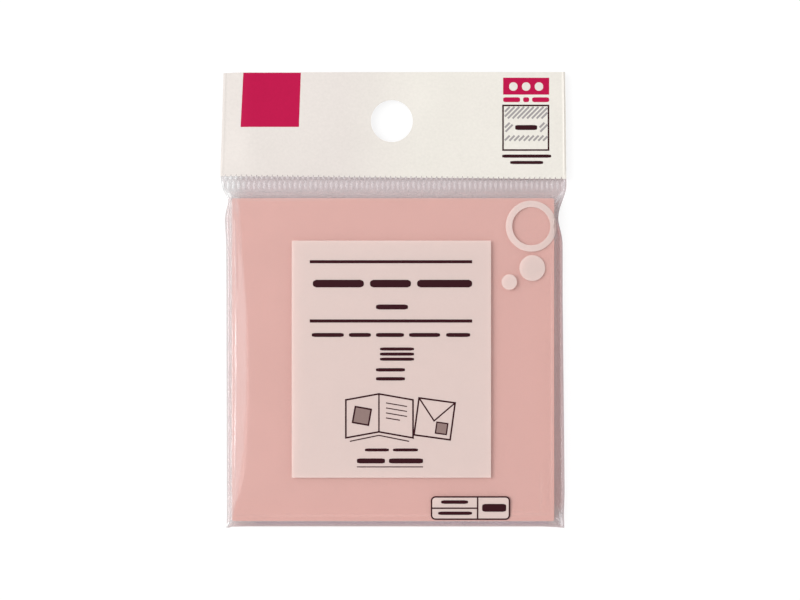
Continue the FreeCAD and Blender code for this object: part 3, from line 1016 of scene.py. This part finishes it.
class NOTEPACK_OT_notes(bpy.types.Operator):
    """Models the pad as single notes, stacked a little unevenly"""

    bl_idname = "notepack.notes"
    bl_label = "Stack the notes"

    def execute(self, context):
        sizes = context.scene.note_pack_sizes
        pitch = (pad_high.z - pad_low.z) / sizes.sheet_count
        clear_selection()
        bpy.ops.mesh.primitive_cube_add(
            size=1, location=(
                (pad_low.x + pad_high.x) / 2, (pad_low.y + pad_high.y) / 2, pad_low.z + pitch / 2,
            ),
            scale=(pad_high.x - pad_low.x, pad_high.y - pad_low.y + NOTE_EXTRA * MM, pitch * NOTE_SHARE),
        )
        notes = context.object
        notes.name = notes.data.name = "notes"
        bpy.ops.object.transform_apply(location=True, rotation=True, scale=True)
        bpy.ops.object.mode_set(mode="EDIT")
        # The upright edges first, for the pad's corners, and then the rims of both faces
        select_parts(notes, "EDGE", lambda edge: abs(edge.verts[0].co.z - edge.verts[1].co.z) > pitch / 2)
        bpy.ops.mesh.bevel(offset=NOTE_CORNER * MM, segments=3)
        select_parts(notes, "FACE", lambda face: abs(face.normal.z) > 0.5)
        bpy.ops.mesh.bevel(offset=NOTE_RIM * MM, segments=1)
        bpy.ops.object.mode_set(mode="OBJECT")
        stack = notes.modifiers.new("Stack", "ARRAY")
        stack.use_relative_offset = False
        stack.use_constant_offset = True
        stack.constant_offset_displace = (0, 0, pitch)
        stack.count = sizes.sheet_count
        bpy.ops.object.modifier_apply(modifier=stack.name)
        draw = random.Random(40)
        strays = [
            (draw.uniform(-1, 1) * sizes.sheet_shuffle, draw.uniform(-1, 1) * sizes.sheet_shuffle)
            for _ in range(sizes.sheet_count)
        ]
        strays[-1] = (0.0, 0.0)
        for vertex in notes.data.vertices:
            sheet = min(sizes.sheet_count - 1, max(0, int((vertex.co.z - pad_low.z) / pitch)))
            vertex.co.x += strays[sheet][0]
            vertex.co.y += strays[sheet][1]
        colours = context.scene.note_pack_colours
        material = paper_material("Pink note paper", colours.paper, 0.85, NOTE_FIBRES)
        finish_piece(notes, material, "note_pad")
        return {"FINISHED"}


class NOTEPACK_OT_backing(bpy.types.Operator):
    """Gives the backing sheet its release paper"""

    bl_idname = "notepack.backing"
    bl_label = "Finish the backing sheet"

    def execute(self, context):
        colours = context.scene.note_pack_colours
        material = paper_material("Release paper", colours.release, 0.5, RELEASE_FIBRES)
        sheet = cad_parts["backing_sheet"]
        for slot in sheet.material_slots:
            slot.material = material
        if not sheet.material_slots:
            sheet.data.materials.append(material)
        return {"FINISHED"}


class NOTEPACK_OT_film(bpy.types.Operator):
    """Models the two plies of the clear bag, with their seal, welds, creases and hang hole"""

    bl_idname = "notepack.film"
    bl_label = "Make the bag's film"

    def execute(self, context):
        sizes = context.scene.note_pack_sizes
        colours = context.scene.note_pack_colours
        material = film_material("Clear film")
        for name, height_at, way in (
            ("front_film", front_film_height, 1), ("back_film", back_film_height, -1),
        ):
            film = add_sheet(name, column_places(), row_places())
            cut_hole(film)
            subdivide_where(film, lambda x, y: SEAL_BOTTOM < y < SEAL_TOP, 4)
            shape_sheet(film, height_at)
            store_haze_and_painted_light(film)
            thicken(film, sizes.film_thickness, way)
            finish_piece(film, material, "header_bag")
        return {"FINISHED"}


class NOTEPACK_OT_header(bpy.types.Operator):
    """Prints the header white on the outside of both plies"""

    bl_idname = "notepack.header"
    bl_label = "Print the header white"

    def execute(self, context):
        colours = context.scene.note_pack_colours
        material = ink_material("White header ink", colours.cool_white, painted_light_colour=colours.painted_light_header_ink)
        rows = [INK_LOW, INK_SPIKES] + header_rows(SEAL_TOP)[1:]
        for name, height_at, gap, way in (
            ("header_ink_front", film_outside, HEADER_GAP, 1),
            ("header_ink_back", back_outside, -HEADER_GAP, -1),
        ):
            ink = add_sheet(name, column_places(), rows)
            cut_hole(ink)
            subdivide_where(ink, lambda x, y: y < INK_SPIKES, 7)
            for vertex in ink.data.vertices:
                x, y = vertex.co.x / MM, vertex.co.y / MM
                across = abs((x - RIB_START) % RIB_PITCH - RIB_PITCH / 2)
                if y < INK_SPIKES:
                    spike = 0.55 * max(0.0, 1 - across / 0.17)
                    tilt = 0.3 * ease(5.0, -40.0, x) - 0.3 * ease(0.0, 40.0, x)
                    down = (INK_SPIKES - y) / (INK_SPIKES - INK_LOW)
                    vertex.co.y += (spike + tilt) * down * MM
            shape_sheet(ink, height_at, gap)
            thicken(ink, HEADER_INK_THICKNESS * MM, way)
            finish_piece(ink, material)
        return {"FINISHED"}


class NOTEPACK_OT_print(bpy.types.Operator):
    """Prints plain fields, bars, rules and line drawings on the outside of the front film"""

    bl_idname = "notepack.print"
    bl_label = "Print the front film"

    def execute(self, context):
        sizes = context.scene.note_pack_sizes
        colours = context.scene.note_pack_colours
        self.print_magenta(colours)
        self.print_dark(colours)
        self.print_grey(colours)
        self.print_pale(colours, sizes)
        return {"FINISHED"}

    def bar(self, left, right, top, bottom, corner=0.0):
        """A bar at its place in the picture's scale."""
        return add_patch(px(left), px(right), py(bottom), py(top), corner)

    def bars(self, rows):
        return [
            self.bar(left, right, top, bottom, corner)
            for top, bottom, corner, *sides in rows for left, right in zip(sides[::2], sides[1::2])
        ]

    def print_magenta(self, colours):
        field = self.bar(243.55, 301, 72.15, 126.5)
        for vertex in field.data.vertices:
            across = (vertex.co.x / MM - px(244)) / (px(301) - px(244))
            down = (py(71.3) - vertex.co.y / MM) / 12.8
            vertex.co.x -= (0.65 * (1 - across) + 0.45 * across) * down * MM
        patches = [field] + self.bars(
            ((77.15, 94.1, 0, 503, 549), (96.8, 101.6, 0.4, 503, 520, 523, 529, 532, 549)),
        )
        magenta = ink_material("Magenta ink", colours.magenta_ink)
        lay_print("print_magenta", on_header(patches), DARK_GAP, magenta)
        marks = [self.bar(a, a + 8.4, 81.8, 90.2, 0.9) for a in (509, 521.8, 534.6)]
        white = ink_material("White mark ink", colours.white_ink)
        lay_print("print_white", on_header(marks), WHITE_GAP, white)

    def print_dark(self, colours):
        patches = self.bars(PANEL_ROWS)
        square = ((502.9, 105.0), (548.3, 105.0), (548.3, 149.7), (502.9, 149.7))
        patches += on_header([
            add_stroke([(px(x), py(y)) for x, y in square], 0.38, True),
            *self.bars(HEADER_ROWS),
        ])
        patches += self.tag_lines()
        patches += self.drawings()
        lay_print("print_dark", patches, DARK_GAP, ink_material("Dark ink", colours.dark_ink))

    def tag_lines(self):
        """The small tag's rounded outline and its two dividing lines."""
        left, right, low, high = px(TAG_LEFT), px(TAG_RIGHT), py(TAG_BOTTOM), py(TAG_TOP)
        radius = TAG_CORNER
        points = []
        for cx, cy, start in (
            (right - radius, high - radius, 0), (left + radius, high - radius, 90),
            (left + radius, low + radius, 180), (right - radius, low + radius, 270),
        ):
            for i in range(7):
                angle = math.radians(start + 15 * i)
                points.append((cx + radius * math.cos(angle), cy + radius * math.sin(angle)))
        divider = [(px(TAG_DIVIDER), high), (px(TAG_DIVIDER), low)]
        middle = [(left, py(TAG_MIDDLE)), (px(TAG_DIVIDER), py(TAG_MIDDLE))]
        return [add_stroke(points, 0.34, True), add_stroke(divider, 0.36), add_stroke(middle, 0.34)]

    def drawings(self):
        """An open notebook and an envelope in thin lines, each with a note stuck on it."""
        lines = (
            (0.38, True, 346, 400, 379, 394, 413, 400, 413, 438, 379, 432, 346, 438),
            (0.33, False, 379, 394, 379, 432), (0.27, False, 350, 441.5, 379, 435.5, 409, 441.5),
            (0.24, False, 386, 403, 407, 406.6), (0.24, False, 386, 408, 407, 411.6),
            (0.24, False, 386, 413, 407, 416.6), (0.24, False, 386, 418, 400, 420.4),
            (0.38, True, 419, 398, 455, 403, 450, 440, 414, 435),
            (0.33, False, 419, 398, 434, 421, 455, 403),
            (0.38, True, 355.5, 406.7, 371.3, 409.5, 368.5, 425.3, 352.7, 422.5),
            (0.31, True, 436.8, 422.3, 447.7, 423.8, 446.2, 434.7, 435.3, 433.2),
        )
        return [
            add_stroke([(px(x), py(y)) for x, y in zip(places[::2], places[1::2])], width, closed)
            for width, closed, *places in lines
        ]

    def print_grey(self, colours):
        patches = [
            add_patch(px(354), px(370), py(424), py(408), turn=math.radians(-10)),
            add_patch(px(436), px(447), py(434), py(423), turn=math.radians(-8)),
        ]
        lay_print("print_notes", patches, GREY_GAP, ink_material("Warm grey ink", colours.note_ink))
        stripes = []
        for left, right, top, bottom in (
            (504.8, 547.2, 106.4, 118.0), (504.8, 512.5, 122.3, 131.3), (539.5, 547.2, 122.3, 131.3),
            (504.8, 547.2, 135.2, 140.4),
        ):
            stripes += self.hatch(px(left), px(right), py(bottom), py(top))
        lay_print("print_grey", on_header(stripes), GREY_GAP, ink_material("Grey ink", colours.grey_ink))

    def hatch(self, left, right, low, high):
        """A band of slanting stripes."""
        height, pitch, width = high - low, 1.12, 0.46
        stripes = []
        start = left - height
        while start < right:
            a, b = max(start, left), min(start + height, right)
            if b - a > 0.75:
                stripes.append(add_stroke([(a, low + a - start), (b, low + b - start)], width))
            start += pitch
        return stripes

    def print_pale(self, colours, sizes):
        panel = self.bar(292.0, 490.75, 240.5, 477.95)
        ring = []
        for i in range(40):
            angle = math.radians(9 * i)
            ring.append((px(531) + 5.2 * math.cos(angle), py(226) + 5.2 * math.sin(angle)))
        tag = add_patch(px(TAG_LEFT), px(TAG_RIGHT), py(TAG_BOTTOM), py(TAG_TOP), TAG_CORNER, cell=0.3)
        patches = [panel, tag, add_stroke(ring, 1.5, True, 6, 0.4)]
        for place_x, place_y, radius in ((532, 268, 3.0), (509, 282, 1.8)):
            x, y = px(place_x), py(place_y)
            patches.append(add_patch(x - radius, x + radius, y - radius, y + radius, radius, cell=0.4))
        material = pale_ink_material("Pale ink", colours.pale_ink, sizes.pale_cover)
        lay_print("print_pale", patches, PALE_GAP, material)


class NOTEPACK_OT_stage(bpy.types.Operator):
    """Sets up the pale floor, the soft light and the camera straight above"""

    bl_idname = "notepack.stage"
    bl_label = "Set up the stage"

    def execute(self, context):
        clear_selection()
        bpy.ops.mesh.primitive_plane_add(size=FLOOR_SIZE, location=(0, 0, -FLOOR_DROP))
        floor = context.object
        floor.name = "floor"
        floor.data.materials.append(floor_material(context.scene.note_pack_colours.floor))
        studio_world()
        add_area_lamp("Window", (-0.70, 0.17, 0.72), 1.6, 1.0, 1.0, 4.9)
        add_area_lamp("Left panel", (-0.44, 0.0, 0.90), 2.4, 2.0, 1.0, 1.4)
        bpy.ops.object.camera_add(location=(CAMERA_X * MM, CAMERA_Y * MM, CAMERA_Z * MM))
        camera = context.object
        camera.rotation_euler = (0, 0, 0)
        camera.data.lens = LENS_LENGTH
        camera.data.sensor_width = 36.0
        camera.data.clip_start = 0.05
        camera.data.clip_end = 20.0
        context.scene.camera = camera
        context.scene.view_settings.view_transform = "Standard"
        return {"FINISHED"}


STEPS = (
    NOTEPACK_OT_notes,
    NOTEPACK_OT_backing,
    NOTEPACK_OT_film,
    NOTEPACK_OT_header,
    NOTEPACK_OT_print,
    NOTEPACK_OT_stage,
)


class NOTEPACK_PT_panel(bpy.types.Panel):
    """Lists the steps and their sizes in the 3D view's sidebar"""

    bl_idname = "NOTEPACK_PT_panel"
    bl_label = "Note Pack"
    bl_space_type = "VIEW_3D"
    bl_region_type = "UI"
    bl_category = "Note Pack"

    def draw(self, context):
        for group in (context.scene.note_pack_sizes, context.scene.note_pack_colours):
            column = self.layout.column()
            for name in group.bl_rna.properties.keys():
                if name not in {"rna_type", "name"}:
                    column.prop(group, name)
        for step in STEPS:
            self.layout.operator(step.bl_idname)


CLASSES = (PackSizes, PackColours, *STEPS, NOTEPACK_PT_panel)


def register():
    for cls in CLASSES:
        bpy.utils.register_class(cls)
    bpy.types.Scene.note_pack_sizes = bpy.props.PointerProperty(type=PackSizes)
    bpy.types.Scene.note_pack_colours = bpy.props.PointerProperty(type=PackColours)


def unregister():
    del bpy.types.Scene.note_pack_colours
    del bpy.types.Scene.note_pack_sizes
    for cls in reversed(CLASSES):
        bpy.utils.unregister_class(cls)


def main():
    register()
    bpy.ops.notepack.notes()
    bpy.ops.notepack.backing()
    bpy.ops.notepack.film()
    bpy.ops.notepack.header()
    bpy.ops.notepack.print()
    bpy.ops.notepack.stage()


if __name__ == "__main__":
    main()
